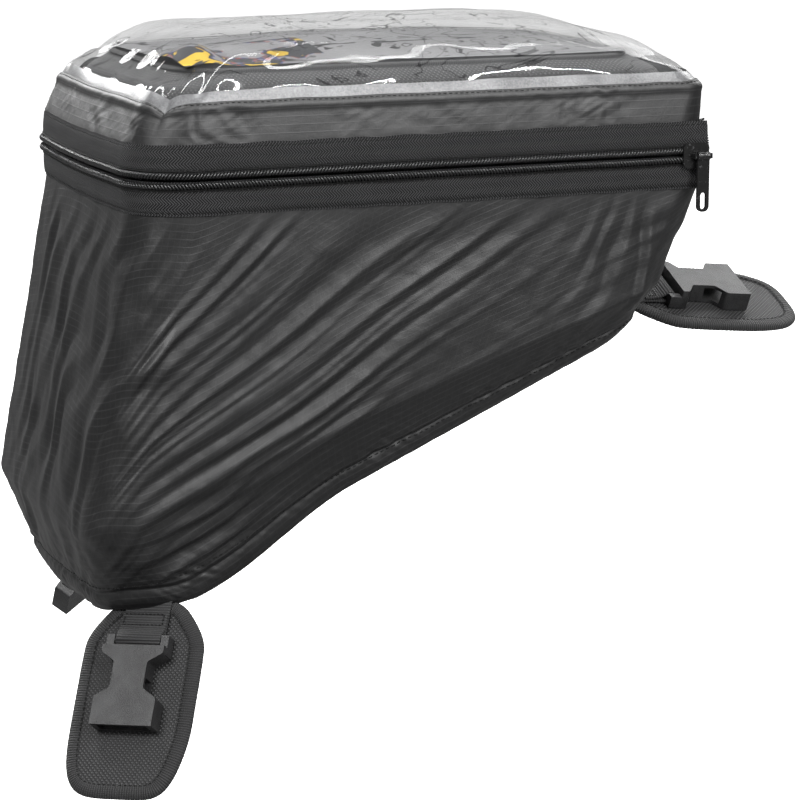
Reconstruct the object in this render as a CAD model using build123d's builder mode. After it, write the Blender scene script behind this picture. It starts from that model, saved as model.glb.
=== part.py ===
from build123d import *
from math import cos, radians, sin
from typing import NamedTuple
import os

# Motorcycle tank bag under its rain cover.
#
# A stiffened bag with a hinged, zipped lid and a map pocket stands on a sloped base panel.  The
# base carries two padded wings with release buckles and one bare webbing tail with a buckle.  A
# thin rain cover with its own zipped, clear-topped lid goes over the bag and gathers round the base
# on an elastic.
#
# Frame: millimetres, +X to the front of the motorcycle, +Z up, origin in the middle of the grip
# pad's underside.

# ---- driving dimensions --------------------------------------------------------------------------
BASE_SLOPE = 24.0  # slope of the tank under the bag
MIDDLE_SLOPE = 19.5  # slope of the line round the bag where it is at its widest
MIDDLE_REAR = (-174, 0, -21)  # the rearmost point of that line

# heights at the bag's level top
COVER_ZIP_Z = 161.0
ZIP_HALF = 18.0  # half the visible height of the rain cover's zip, tape included
SEAM_Z = 195.0  # where the clear window is sewn to the band
SHOULDER_Z = 213.0
CROWN_Z = 230.0
BAG_ZIP_Z = 174.0
BAG_ZIP_HALF = 7.0
LID_SHOULDER_Z = 204.0
LID_TOP_Z = 212.0

# thicknesses
FABRIC = 1.2
TAPE = 1.2
WINDOW = 1.2
FOAM = 5.0
GAP = 0.3  # between layers that only lie on each other
GRIP_PAD = 4.0
BASE_PANEL = 8.0
BASE_TOP = GRIP_PAD + BASE_PANEL
BINDING = 1.2
LID_SKIN = 5.0

# zips
COIL = 3.2  # how far the cover's coil stands off its tape
COIL_HEIGHT = 5.0
BAG_COIL = 2.2
BAG_COIL_HEIGHT = 3.4
CHAIN_GAP = 1.2  # between the two rows of teeth, where the slider's post runs
COVER_ZIP_END = 170.0  # the straight chain runs a little past the front corner
ZIP_TAIL = 15.0  # tape turned in under the front panel
SLIDER_LENGTH = 15.0
PULL_LENGTH = 32.0

# harness
WEBBING_WIDTH = 25.0
WEBBING = 1.6
WING_LENGTH = 100.0
WING_WIDTH = 61.0
WING_PAD = 5.0
WING_START = 9.0  # from the hinge line to the wing's pad
TAB_REACH = 20.0  # webbing sewn in under the base panel
HINGE_GAP = 3.0  # bare fold line between a sewn-in tab and its strap
BAR_AT = 24.0  # from the hinge line to the buckle's bar
BAR_RADIUS = 1.9
BAR_UP = 4.6  # height of the bar over the wing's face
BUCKLE_LENGTH = 48.0
BUCKLE_WIDTH = 34.5
BUCKLE_WAIST = 18.5
BUCKLE_THICK = 11.0
BUCKLE_WALL = 1.8


# ---- outlines ------------------------------------------------------------------------------------
class Section(NamedTuple):
    """A rounded rectangle on a plane: its rear and front ends, half width and corner radii."""

    plane: Plane
    rear: float
    front: float
    half_width: float
    rear_radius: float
    front_radius: float

    def inset(self, gap, rise=0.0):
        """The same outline pulled in by gap, on a plane raised by rise."""
        return Section(
            self.plane.offset(rise),
            self.rear + gap,
            self.front - gap,
            self.half_width - gap,
            self.rear_radius - gap,
            self.front_radius - gap,
        )


def level(height):
    return Plane.XY.offset(height)


def sloped(origin, slope):
    along = (cos(radians(slope)), 0, sin(radians(slope)))
    up = (-sin(radians(slope)), 0, cos(radians(slope)))
    return Plane(origin=origin, x_dir=along, z_dir=up)


BASE = sloped((0, 0, 0), BASE_SLOPE)
LOWER_TAPE_Z = COVER_ZIP_Z - ZIP_HALF
UPPER_TAPE_Z = COVER_ZIP_Z + ZIP_HALF

COVER_TOP = Section(level(LOWER_TAPE_Z), -145, 173, 102, 31, 19)
COVER_MIDDLE = Section(sloped(MIDDLE_REAR, MIDDLE_SLOPE), 0, 346, 103, 25, 26)
COVER_BOTTOM = Section(BASE.offset(GRIP_PAD + 6), -172, 159, 85, 40, 34)
SEAM = Section(level(SEAM_Z), -137, 173, 99, 26, 13)
SHOULDER = Section(level(SHOULDER_Z), -132, 167, 92, 32, 20)
CROWN = Section(level(CROWN_Z), -98, 122, 72, 34, 34)

BAG_RIM = Section(level(BAG_ZIP_Z - BAG_ZIP_HALF), -129, 162, 90, 34, 20)
BAG_WAIST = Section(level(LOWER_TAPE_Z), -132, 165, 93, 35, 20)
BAG_MIDDLE = COVER_MIDDLE.inset(4)
BAG_BOTTOM = Section(BASE.offset(BASE_TOP + GAP), -158, 153, 80, 38, 32)
LID_RIM = Section(level(BAG_ZIP_Z + BAG_ZIP_HALF), -129, 162, 90, 34, 20)
LID_SHOULDER = Section(level(LID_SHOULDER_Z), -126, 157, 87, 33, 22)
LID_TOP = Section(level(LID_TOP_Z), -116, 144, 77, 30, 26)
BASE_EDGE = Section(BASE, -153, 150, 76, 38, 31)


def outline(section):
    """The section's outline as a flat sketch in its own plane's coordinates."""
    with BuildSketch() as flat:
        with Locations(((section.rear + section.front) / 2, 0)):
            Rectangle(section.front - section.rear, 2 * section.half_width)
        fillet(flat.vertices().group_by(Axis.X)[0], section.rear_radius)
        fillet(flat.vertices().group_by(Axis.X)[-1], section.front_radius)
    return flat.sketch


def tapered(*sections):
    """A straight-sided body through the sections, from the first to the last."""
    with BuildPart() as body:
        for section in sections:
            with BuildSketch(section.plane):
                add(outline(section))
        loft(ruled=True)
    return body.part


def slab(section, height):
    with BuildPart() as body:
        with BuildSketch(section.plane):
            add(outline(section))
        extrude(amount=height)
    return body.part


def hoop(section, outward, inward, height):
    """A band that follows an outline, from inward inside it to outward outside it."""
    with BuildPart() as body:
        with BuildSketch(section.plane):
            add(outline(section.inset(-outward)))
            add(outline(section.inset(inward)), mode=Mode.SUBTRACT)
        extrude(amount=height)
    return body.part


FAR = 500.0  # past everything, for cutting boxes


def block(low, high):
    """A plain box between two corners."""
    with BuildPart() as body:
        with Locations(((low[0] + high[0]) / 2, (low[1] + high[1]) / 2, (low[2] + high[2]) / 2)):
            Box(high[0] - low[0], high[1] - low[1], high[2] - low[2])
    return body.part


def save(part, name):
    part.label = name
    export_step(part, f"parts/{name}.step")


# ---- the bag -------------------------------------------------------------------------------------
def bag_hollow(gap, floor):
    """The bag's body pulled in by gap all round, with its floor raised by floor."""
    walls = [section.inset(gap) for section in (BAG_RIM, BAG_WAIST, BAG_MIDDLE)]
    return tapered(*walls, BAG_BOTTOM.inset(gap, floor))


def make_bag():
    with BuildPart() as bag_shell:
        add(bag_hollow(0, 0))
        add(bag_hollow(FABRIC, FABRIC), mode=Mode.SUBTRACT)
    save(bag_shell.part, "bag_shell")

    outer = FABRIC + GAP
    inner = outer + FOAM
    floor_top = BASE_TOP + GAP + inner
    with BuildPart() as foam_floor:
        add(bag_hollow(outer, outer))
        split(bisect_by=BASE.offset(floor_top), keep=Keep.BOTTOM)
    save(foam_floor.part, "foam_floor")

    with BuildPart() as foam_walls:
        add(bag_hollow(outer, outer))
        add(bag_hollow(inner, outer - 1), mode=Mode.SUBTRACT)
        split(bisect_by=BASE.offset(floor_top + GAP), keep=Keep.TOP)
    rear_cut, front_cut = -112.0, 138.0
    panels = {
        "foam_rear": ((-FAR, -FAR, -FAR), (rear_cut, FAR, FAR)),
        "foam_front": ((front_cut, -FAR, -FAR), (FAR, FAR, FAR)),
        "foam_side_right": ((rear_cut + GAP, -FAR, -FAR), (front_cut - GAP, 0, FAR)),
        "foam_side_left": ((rear_cut + GAP, 0, -FAR), (front_cut - GAP, FAR, FAR)),
    }
    for name, corners in panels.items():
        with BuildPart() as panel:
            add(foam_walls.part)
            add(block(*corners), mode=Mode.INTERSECT)
        save(panel.part, name)


def make_bag_lid():
    with BuildPart() as bag_lid_panel:
        add(tapered(LID_RIM, LID_SHOULDER, LID_TOP))
        add(
            tapered(
                LID_RIM.inset(LID_SKIN),
                LID_SHOULDER.inset(LID_SKIN, -LID_SKIN / 2),
                LID_TOP.inset(LID_SKIN, -LID_SKIN),
            ),
            mode=Mode.SUBTRACT,
        )
    save(bag_lid_panel.part, "bag_lid_panel")

    pocket = LID_TOP.inset(1.5)
    save(hoop(pocket, 0, 6, 2.2), "map_pocket_binding")
    save(slab(pocket.inset(7, 0.1), 0.6), "map_sheet")
    save(slab(pocket.inset(6.1, 1.0), 0.8), "map_pocket_film")


# ---- base ----------------------------------------------------------------------------------------
def make_base():
    save(slab(BASE_EDGE.inset(30), GRIP_PAD), "grip_pad")
    save(slab(BASE_EDGE.inset(0, GRIP_PAD), BASE_PANEL), "base_panel")
    save(hoop(BASE_EDGE.inset(0, GRIP_PAD), BINDING, 0, BASE_PANEL), "base_binding")
    save(hoop(COVER_BOTTOM.inset(0, -5.8), -1.4, 4.6, 5.5), "cover_hem_elastic")


# ---- rain cover ----------------------------------------------------------------------------------
LOWER_TAPE = (LOWER_TAPE_Z, COVER_ZIP_Z - CHAIN_GAP / 2)
UPPER_TAPE = (COVER_ZIP_Z + CHAIN_GAP / 2, UPPER_TAPE_Z)
IN_FRONT = block((COVER_ZIP_END + TAPE, -FAR, -FAR), (FAR, FAR, FAR))


def front_panel(low, high):
    """The plain fabric between the two ends of the zip, across the cover's front."""
    with BuildPart() as panel:
        add(hoop(COVER_TOP.inset(0, low - LOWER_TAPE_Z), 0, FABRIC, high - low))
        add(IN_FRONT, mode=Mode.INTERSECT)
    return panel.part


def make_cover():
    sections = (COVER_TOP, COVER_MIDDLE, COVER_BOTTOM)
    with BuildPart() as cover_skirt:
        add(tapered(*sections))
        add(tapered(*[section.inset(FABRIC) for section in sections]), mode=Mode.SUBTRACT)
        add(front_panel(*LOWER_TAPE))
    save(cover_skirt.part, "cover_skirt")

    band_foot = COVER_TOP.inset(0, 2 * ZIP_HALF)
    with BuildPart() as cover_band:
        add(tapered(band_foot, SEAM))
        add(tapered(band_foot.inset(FABRIC), SEAM.inset(FABRIC)), mode=Mode.SUBTRACT)
        add(front_panel(*UPPER_TAPE))
    save(cover_band.part, "cover_band")

    border = 5.0  # the welded strip along the window's edge
    with BuildPart() as dome:
        add(tapered(SEAM, SHOULDER, CROWN))
        add(
            tapered(SEAM.inset(WINDOW), SHOULDER.inset(WINDOW, -WINDOW / 2), CROWN.inset(WINDOW, -WINDOW)),
            mode=Mode.SUBTRACT,
        )
    for name, side in (("cover_window", Keep.TOP), ("window_border", Keep.BOTTOM)):
        with BuildPart() as piece:
            add(dome.part)
            split(bisect_by=level(SEAM_Z + border), keep=side)
        save(piece.part, name)


# ---- zips ----------------------------------------------------------------------------------------
def zip_strip(section, inward, outward, low, high, straight_end, tail):
    """A strip round the rear and both sides, straight past the front corners, its ends turned in."""
    bend = section.front - section.front_radius
    wall = section.half_width
    with BuildPart() as strip:
        with BuildSketch(level(low)):
            add(outline(section.inset(-outward)))
            add(outline(section.inset(inward)), mode=Mode.SUBTRACT)
            with Locations((bend - FAR / 2, 0)):
                Rectangle(FAR, FAR, mode=Mode.INTERSECT)
            for side in (-1, 1):
                with Locations(((bend + straight_end) / 2, side * (wall + (outward - inward) / 2))):
                    Rectangle(straight_end - bend, outward + inward)
                if tail:
                    with Locations((straight_end + TAPE / 2, side * (wall - tail / 2))):
                        Rectangle(TAPE, tail)
        extrude(amount=high - low)
    return strip.part


def make_zips():
    for side, (low, high) in (("lower", LOWER_TAPE), ("upper", UPPER_TAPE)):
        save(zip_strip(COVER_TOP, TAPE, 0, low, high, COVER_ZIP_END, ZIP_TAIL), f"cover_zip_tape_{side}")
        teeth = high - COIL_HEIGHT if side == "lower" else low
        coil = zip_strip(COVER_TOP, 0, COIL, teeth, teeth + COIL_HEIGHT, COVER_ZIP_END, 0)
        save(coil, f"cover_zip_coil_{side}")

    bag_end = BAG_RIM.front - BAG_RIM.front_radius + 1
    lower = (BAG_ZIP_Z - BAG_ZIP_HALF, BAG_ZIP_Z - CHAIN_GAP / 2)
    upper = (BAG_ZIP_Z + CHAIN_GAP / 2, BAG_ZIP_Z + BAG_ZIP_HALF)
    for side, (low, high) in (("lower", lower), ("upper", upper)):
        teeth = high - BAG_COIL_HEIGHT if side == "lower" else low
        with BuildPart() as chain:
            add(hoop(BAG_RIM.inset(0, low - lower[0]), 0, TAPE, high - low))
            add(zip_strip(BAG_RIM, 0, BAG_COIL, teeth, teeth + BAG_COIL_HEIGHT, bag_end, 0))
        save(chain.part, f"bag_zip_chain_{side}")


def slider(front, wall, height, coil, coil_height):
    """A zip slider on a straight chain on the right side: a plate in front of the teeth, one behind the tape, and
    the post that runs between the two rows."""
    clear = 0.4
    plate = 1.1
    half = coil_height + CHAIN_GAP / 2 + 1.2
    back = -(wall - TAPE - clear)
    face = -(wall + coil + clear)
    post = CHAIN_GAP / 2 - 0.2
    with BuildPart() as body:
        for y in (back, face - plate):
            with BuildSketch(Plane.XZ.offset(-y)):
                with Locations((front - SLIDER_LENGTH / 2, height)):
                    RectangleRounded(SLIDER_LENGTH, 2 * half, 3)
            extrude(amount=-plate)
        add(block((front - 5, face - plate, height - post), (front - 0.8, back + plate, height + post)))
    return body.part, face - plate


def make_sliders():
    # the cover's slider: its bar stands off the plate, and the pull hangs from it
    front = COVER_ZIP_END - 0.5
    body, face = slider(front, COVER_TOP.half_width, COVER_ZIP_Z, COIL, COIL_HEIGHT)
    bar_x = front - 5
    bar_y = face - 2.9
    with BuildPart() as cover_zip_slider:
        add(body)
        for x in (bar_x - 5.2, bar_x + 3.8):
            add(block((x, bar_y - 0.9, COVER_ZIP_Z - 1.4), (x + 1.4, face + 0.5, COVER_ZIP_Z + 1.4)))
        with BuildSketch(Plane.YZ.offset(bar_x - 4.5)):
            with Locations((bar_y, COVER_ZIP_Z)):
                Circle(0.9)
        extrude(amount=9)
    save(cover_zip_slider.part, "cover_zip_slider")

    with BuildPart() as cover_zip_pull:
        with BuildSketch(Plane.XZ.offset(-(bar_y + 0.8))):
            with Locations((bar_x, COVER_ZIP_Z - PULL_LENGTH / 2 + 2.2)):
                RectangleRounded(7, PULL_LENGTH, 3)
            with Locations((bar_x, COVER_ZIP_Z - PULL_LENGTH + 8)):
                SlotOverall(9, 3.2, rotation=90, mode=Mode.SUBTRACT)
        extrude(amount=1.6)
        with BuildSketch(Plane.YZ.offset(bar_x - 3.5)):
            with Locations((bar_y, COVER_ZIP_Z)):
                Circle(2.2)
        extrude(amount=7)
        with BuildSketch(Plane.YZ.offset(bar_x - 4)):
            with Locations((bar_y, COVER_ZIP_Z)):
                Circle(1.1)
        extrude(amount=8, mode=Mode.SUBTRACT)
    save(cover_zip_pull.part, "cover_zip_pull")

    # the bag's own slider, with a short moulded tab
    bag_front = BAG_RIM.front - BAG_RIM.front_radius
    body, face = slider(bag_front, BAG_RIM.half_width, BAG_ZIP_Z, BAG_COIL, BAG_COIL_HEIGHT)
    with BuildPart() as bag_zip_slider:
        add(body)
        add(block((bag_front - 10, face - 1.4, BAG_ZIP_Z - 18), (bag_front - 4, face, BAG_ZIP_Z)))
    save(bag_zip_slider.part, "bag_zip_slider")


# ---- harness -------------------------------------------------------------------------------------
def strap_plane(root, along, across):
    """The plane of a strap's or wing's face: +X along it from the hinge line, +Y across, +Z out of its face."""
    length = Vector(*along).normalized()
    face = length.cross(Vector(*across)).normalized()
    return Plane(origin=root, x_dir=length, z_dir=face)


HARNESS = {
    "front": strap_plane((171, 0, 69.5), (0.995, 0, -0.1), (0, 0.93, 0.36)),
    "rear_right": strap_plane((-135.3, -78, -60.5), (-0.331, -0.477, -0.814), (0.761, -0.645, 0.068)),
    "rear_left": strap_plane((-118, 72, -52), (0, 0.55, -0.83), (-0.8, -0.5, -0.33)),
}
TAB_DIRECTION = {"front": (1, 0), "rear_right": (-0.66, -0.75), "rear_left": (-0.5, 0.87)}


def make_tab(side):
    """The sewn-in end of a strap, flat under the base panel.  The front one hangs on past the panel's edge."""
    x, y = TAB_DIRECTION[side]
    hinge = BASE.to_local_coords(HARNESS[side].origin)
    low = GRIP_PAD - GAP - WEBBING
    with BuildPart() as tab:
        if side == "front":
            edge = BASE_EDGE.front
            with BuildSketch(Plane.XZ.offset(-WEBBING_WIDTH / 2)):
                with BuildLine():
                    inner = BASE.from_local_coords((edge - TAB_REACH, 0, low))
                    outer = BASE.from_local_coords((edge + 4, 0, low))
                    end = HARNESS[side].from_local_coords((-HINGE_GAP, 0, 0))
                    lift = BASE.z_dir * WEBBING
                    corners = [inner, outer, end, end + lift, outer + lift, inner + lift]
                    Polyline(*[(corner.X, corner.Z) for corner in corners], close=True)
                make_face()
            extrude(amount=WEBBING_WIDTH)
        else:
            along = Vector(x, y).get_signed_angle(Vector(1, 0)) * -1
            with BuildSketch(BASE.offset(low)):
                reach = TAB_REACH / 2 + HINGE_GAP
                with Locations((hinge.X - x * reach, hinge.Y - y * reach)):
                    Rectangle(TAB_REACH, WEBBING_WIDTH, rotation=along)
            extrude(amount=WEBBING)
    save(tab.part, f"strap_tab_{side}")


def make_wing(side):
    """A padded wing with its binding; its outer face lies in the strap plane."""
    plane = HARNESS[side]
    middle = WING_START + WING_LENGTH / 2
    with BuildPart() as pad:
        with BuildSketch(plane.offset(-WING_PAD)):
            with Locations((middle, 0)):
                RectangleRounded(WING_LENGTH, WING_WIDTH, 16)
        extrude(amount=WING_PAD)
    save(pad.part, f"wing_pad_{side}")
    with BuildPart() as binding:
        with BuildSketch(plane.offset(-WING_PAD)):
            with Locations((middle, 0)):
                RectangleRounded(WING_LENGTH + 4, WING_WIDTH + 4, 18)
                RectangleRounded(WING_LENGTH, WING_WIDTH, 16, mode=Mode.SUBTRACT)
        extrude(amount=WING_PAD)
    save(binding.part, f"wing_binding_{side}")


def make_strap(side):
    """Webbing from the hinge line round the buckle's bar, and the receiving half of a side-release buckle."""
    plane = HARNESS[side]
    loop = BAR_RADIUS + GAP
    edge_on = Plane(origin=plane.origin, x_dir=plane.x_dir, z_dir=-plane.y_dir)
    half = WEBBING_WIDTH / 2
    with BuildPart() as webbing:
        with BuildSketch(edge_on.offset(-half)):
            with Locations((BAR_AT, BAR_UP)):
                Circle(loop + WEBBING)
            with Locations(((HINGE_GAP + BAR_AT) / 2, BAR_UP - loop - WEBBING / 2)):
                Rectangle(BAR_AT - HINGE_GAP, WEBBING)
            with Locations((BAR_AT, BAR_UP)):
                Circle(loop, mode=Mode.SUBTRACT)
        extrude(amount=WEBBING_WIDTH)
    save(webbing.part, f"webbing_{side}")

    low = 0.6  # the buckle's back over the wing's face
    body_start = BAR_AT + loop + WEBBING + 1
    socket = 26.0
    cheek = (BUCKLE_WIDTH - WEBBING_WIDTH - 1) / 2
    end = BAR_AT + BUCKLE_LENGTH
    wide, narrow = BUCKLE_WIDTH / 2, BUCKLE_WAIST / 2
    edge = [(body_start, wide), (body_start + 4, wide), (body_start + 9, narrow), (end - 20, narrow)]
    edge += [(end - 15, wide), (end, wide)]
    with BuildPart() as buckle:
        with BuildSketch(plane.offset(low)) as waisted:
            with BuildLine():
                Polyline(*edge, *[(x, -y) for x, y in reversed(edge)], close=True)
            make_face()
            fillet(waisted.vertices().filter_by_position(Axis.X, body_start + 1, end - 1), 2.5)
        extrude(amount=BUCKLE_THICK)
        with BuildSketch(plane.offset(low)):
            for y in (-1, 1):
                with Locations(((BAR_AT + body_start) / 2 + 1, y * (BUCKLE_WIDTH - cheek) / 2)):
                    Rectangle(body_start - BAR_AT + 6, cheek)
        extrude(amount=7)
        with BuildSketch(edge_on.offset(-BUCKLE_WIDTH / 2 + 1)):
            with Locations((BAR_AT, BAR_UP)):
                Circle(BAR_RADIUS)
        extrude(amount=BUCKLE_WIDTH - 2)
        # the socket for the other half; its prongs show at the waist
        with BuildSketch(plane.offset(low + BUCKLE_WALL)):
            with Locations((BAR_AT + BUCKLE_LENGTH - socket / 2, 0)):
                Rectangle(socket, BUCKLE_WIDTH - 2 * BUCKLE_WALL - 3)
        extrude(amount=BUCKLE_THICK - 2 * BUCKLE_WALL, mode=Mode.SUBTRACT)
    save(buckle.part, f"buckle_{side}")


os.makedirs("parts", exist_ok=True)
make_bag()
make_bag_lid()
make_base()
make_cover()
make_zips()
make_sliders()
for strap in HARNESS:
    make_tab(strap)
    make_strap(strap)
for wing in ("front", "rear_right"):
    make_wing(wing)
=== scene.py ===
import itertools
import math

import bpy
import numpy as np
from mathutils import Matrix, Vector


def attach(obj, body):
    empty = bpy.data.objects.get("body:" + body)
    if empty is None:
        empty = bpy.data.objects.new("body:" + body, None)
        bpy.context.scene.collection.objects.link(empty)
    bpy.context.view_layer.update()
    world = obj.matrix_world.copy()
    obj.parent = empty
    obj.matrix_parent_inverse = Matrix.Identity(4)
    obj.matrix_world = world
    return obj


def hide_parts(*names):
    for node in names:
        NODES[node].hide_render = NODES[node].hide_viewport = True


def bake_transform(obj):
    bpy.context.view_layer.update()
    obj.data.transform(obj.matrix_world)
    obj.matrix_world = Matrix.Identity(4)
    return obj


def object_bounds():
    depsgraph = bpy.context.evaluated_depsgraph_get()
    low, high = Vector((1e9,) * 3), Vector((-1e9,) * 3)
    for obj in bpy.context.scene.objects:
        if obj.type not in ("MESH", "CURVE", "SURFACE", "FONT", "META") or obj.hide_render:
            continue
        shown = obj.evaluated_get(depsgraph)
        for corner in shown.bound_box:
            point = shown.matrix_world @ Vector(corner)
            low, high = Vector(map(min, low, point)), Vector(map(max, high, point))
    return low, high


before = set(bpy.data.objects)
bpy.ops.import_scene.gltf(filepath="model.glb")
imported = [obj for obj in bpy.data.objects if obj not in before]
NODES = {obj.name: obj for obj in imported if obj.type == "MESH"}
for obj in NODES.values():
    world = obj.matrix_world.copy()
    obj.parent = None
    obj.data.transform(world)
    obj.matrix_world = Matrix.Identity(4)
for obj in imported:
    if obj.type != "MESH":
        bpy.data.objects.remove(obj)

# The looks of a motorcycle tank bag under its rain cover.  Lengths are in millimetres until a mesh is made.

MM = 0.001
CAD_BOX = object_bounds()
rng = np.random.default_rng(11)


# ---- camera ----
def make_camera():
    target = Vector((34.62, 0, 17.0)) * MM
    place = Vector((-574.8, -1547.1, 370.4)) * MM
    data = bpy.data.cameras.new("camera")
    data.lens = 137.03
    data.sensor_width = 36
    data.clip_end = 50
    camera = bpy.data.objects.new("camera", data)
    camera.location = place
    camera.rotation_euler = (target - place).to_track_quat("-Z", "Y").to_euler()
    bpy.context.scene.collection.objects.link(camera)
    bpy.context.scene.camera = camera


# ---- noise and small helpers ----
PERM = rng.permutation(256)
GRADS = rng.normal(size=(256, 3))
GRADS /= np.linalg.norm(GRADS, axis=1)[:, None]


def perlin(x, y, z):
    """Smooth noise, about -1 to 1, at arrays of places."""
    p = np.stack(np.broadcast_arrays(x, y, z), -1).astype(float)
    cell = np.floor(p).astype(int)
    f = p - cell
    w = f * f * f * (f * (f * 6 - 15) + 10)
    total = np.zeros(p.shape[:-1])
    for corner in itertools.product((0, 1), repeat=3):
        h = 0
        for axis, side in enumerate(corner):
            h = PERM[(h + cell[..., axis] + side) % 256]
        weight = np.where(corner, w, 1 - w).prod(-1)
        total += weight * (GRADS[h] * (f - corner)).sum(-1)
    return total * 1.7


def smooth(a, b, x):
    """0 before a and 1 after b, with a soft step between."""
    t = np.clip((x - a) / (b - a), 0, 1)
    return t * t * (3 - 2 * t)


def unit(v):
    v = np.asarray(v, float)
    return v / np.linalg.norm(v)


def pair(a, b):
    """Two arrays as one array of pairs."""
    return np.stack(np.broadcast_arrays(a, b), -1)


def grey(value, blue=0.0):
    """A grey with a touch of blue."""
    return value, value, value + blue


def inside_out(mesh):
    """True where a mesh's faces look towards its middle."""
    count = len(mesh.polygons)
    centres, facing, areas = np.empty(count * 3), np.empty(count * 3), np.empty(count)
    mesh.polygons.foreach_get("center", centres)
    mesh.polygons.foreach_get("normal", facing)
    mesh.polygons.foreach_get("area", areas)
    centres = centres.reshape(-1, 3)
    away = ((centres - centres.mean(0)) * facing.reshape(-1, 3)).sum(1)
    return float(away @ areas) < 0


def mesh_object(name, points, faces, uvs=None):
    """A smooth mesh from millimetre points; uvs holds one pair for each face corner, in millimetres."""
    mesh = bpy.data.meshes.new(name)
    mesh.from_pydata((np.asarray(points, float) * MM).tolist(), [], faces)
    if uvs is not None:
        layer = mesh.uv_layers.new(name="cloth")
        layer.data.foreach_set("uv", np.asarray(uvs, np.float32).ravel())
    mesh.polygons.foreach_set("use_smooth", [True] * len(mesh.polygons))
    mesh.update()
    if inside_out(mesh):
        mesh.flip_normals()
    obj = bpy.data.objects.new(name, mesh)
    bpy.context.scene.collection.objects.link(obj)
    return obj


def grid_object(name, grid, uv=None, loop=False, cap=False):
    """A mesh from rows of points.  loop joins each row's ends, and cap closes the last row with a fan.
    uv is in millimetres, and may have one more column than the grid, for the end of the last face."""
    rows, cols = grid.shape[:2]
    if uv is None:
        uv = np.zeros((rows, cols, 2))
    last = cols if loop else cols - 1
    i, j = np.meshgrid(np.arange(rows - 1), np.arange(last), indexing="ij")
    i, j = i.ravel(), j.ravel()
    n = (j + 1) % cols
    faces = np.stack([i * cols + j, i * cols + n, (i + 1) * cols + n, (i + 1) * cols + j], 1).tolist()
    wide = uv if uv.shape[1] > cols else np.concatenate([uv, uv[:, :1]], 1)
    corners = np.stack([wide[i, j], wide[i, j + 1], wide[i + 1, j + 1], wide[i + 1, j]], 1).reshape(-1, 2)
    points = grid.reshape(-1, 3)
    if cap:
        points = np.vstack([points, grid[-1].mean(0)])
        base = (rows - 1) * cols
        faces += [[base + k, base + (k + 1) % cols, rows * cols] for k in range(cols)]
        extra = [[uv[-1, k], uv[-1, (k + 1) % cols], uv[-1].mean(0)] for k in range(cols)]
        corners = np.vstack([corners, np.array(extra).reshape(-1, 2)])
    return mesh_object(name, points, faces, corners)


def normals(grid):
    """Outward directions at a closed grid whose rows go up, each from the front by the right side."""
    along = np.roll(grid, -1, 1) - np.roll(grid, 1, 1)
    up = np.gradient(grid, axis=0)
    n = np.cross(up, along)
    return n / np.maximum(np.linalg.norm(n, axis=-1, keepdims=True), 1e-9)


def soften(grid, times):
    """Rounds a grid's corners from row to row."""
    for _ in range(times):
        mid = (grid[:-2] + 2 * grid[1:-1] + grid[2:]) / 4
        grid = np.concatenate([grid[:1], mid, grid[-1:]], 0)
    return grid


# ---- the cover's outline ----
# lengths of the outline's nine stretches at the zip, from the middle of the front by the right side
SPANS = (79, 36, 251, 61, 126, 61, 251, 36, 79)
ROUND = float(sum(SPANS))
REAR_CORNER = sum(SPANS[:3]) + 30  # from the middle of the front to the middle of a rear corner
BOW = 3  # how far the rear end bows out

# the cover's sections: rear end, front end, half width, rear radius and front radius
TOP = (-145, 173, 102, 31, 19)  # at the zip
MIDDLE = (0, 346, 103, 25, 26)  # where the skirt is longest, on a plane that slopes up from its rear end
MIDDLE_REAR = (-174, -21)
MIDDLE_SLOPE = 19.5
HEM = (-173, 160, 86, 38, 34)  # on the sloping plane of the base
SLOPE = 24.0
SEAM = (-137, 173, 99, 26, 13)  # where the window is sewn to the band
SKIRT_TOP = 144.0
BAND_FOOT = 178.6
SEAM_Z = 195.0


def outline(u, rear, front, half, rear_radius, front_radius, bow=0.0):
    """Points of a rounded rectangle for shares u of the way round, from the middle of the front, by the right
    side, the rear and the left side.  bow rounds the rear end outwards."""
    ends = np.cumsum((0, *SPANS)) / ROUND
    k = np.clip(np.searchsorted(ends, u, side="right") - 1, 0, len(SPANS) - 1)
    f = (u - ends[k]) / (ends[k + 1] - ends[k])
    a = f * math.pi / 2
    fr, rr = front_radius, rear_radius
    choices_x = [
        front + 0 * f, front - fr + fr * np.cos(a), front - fr + (rear + rr - front + fr) * f,
        rear + rr - rr * np.sin(a), rear - bow * np.sin(math.pi * f), rear + rr - rr * np.cos(a),
        rear + rr + (front - fr - rear - rr) * f, front - fr + fr * np.sin(a), front + 0 * f,
    ]
    choices_y = [
        -(half - fr) * f, -(half - fr) - fr * np.sin(a), -half + 0 * f,
        -(half - rr) - rr * np.cos(a), -(half - rr) + 2 * (half - rr) * f, (half - rr) + rr * np.sin(a),
        half + 0 * f, (half - fr) + fr * np.cos(a), (half - fr) * (1 - f),
    ]
    return np.choose(k, choices_x), np.choose(k, choices_y)


def on_plane(u, origin, slope, section, bow=0.0):
    """An outline on a plane that starts at origin and slopes up towards the front."""
    x, y = outline(u, *section, bow=bow)
    c, s = math.cos(math.radians(slope)), math.sin(math.radians(slope))
    return np.stack([origin[0] + x * c, y, origin[1] + x * s], -1)


def level(u, z, section, bow=0.0):
    """A level outline at height z."""
    return on_plane(u, (0, z), 0, section, bow)


def from_corner(u):
    """Distances round the outline from the right and the left rear corner, growing to the front."""
    s = u * ROUND
    return REAR_CORNER - s, s - (ROUND - REAR_CORNER)


def corner_dip(u):
    """How far the seam under the window dips near the rear corners."""
    right, left = from_corner(u)
    return 7.0 * (np.exp(-np.abs(right) / 9) + np.exp(-np.abs(left) / 9))


def closed_uv(around, up):
    """Cloth coordinates of a closed grid, with the extra column that ends its last face."""
    uv = pair(around, up)
    return np.concatenate([uv, uv[:, :1] + (ROUND, 0)], 1)


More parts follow.
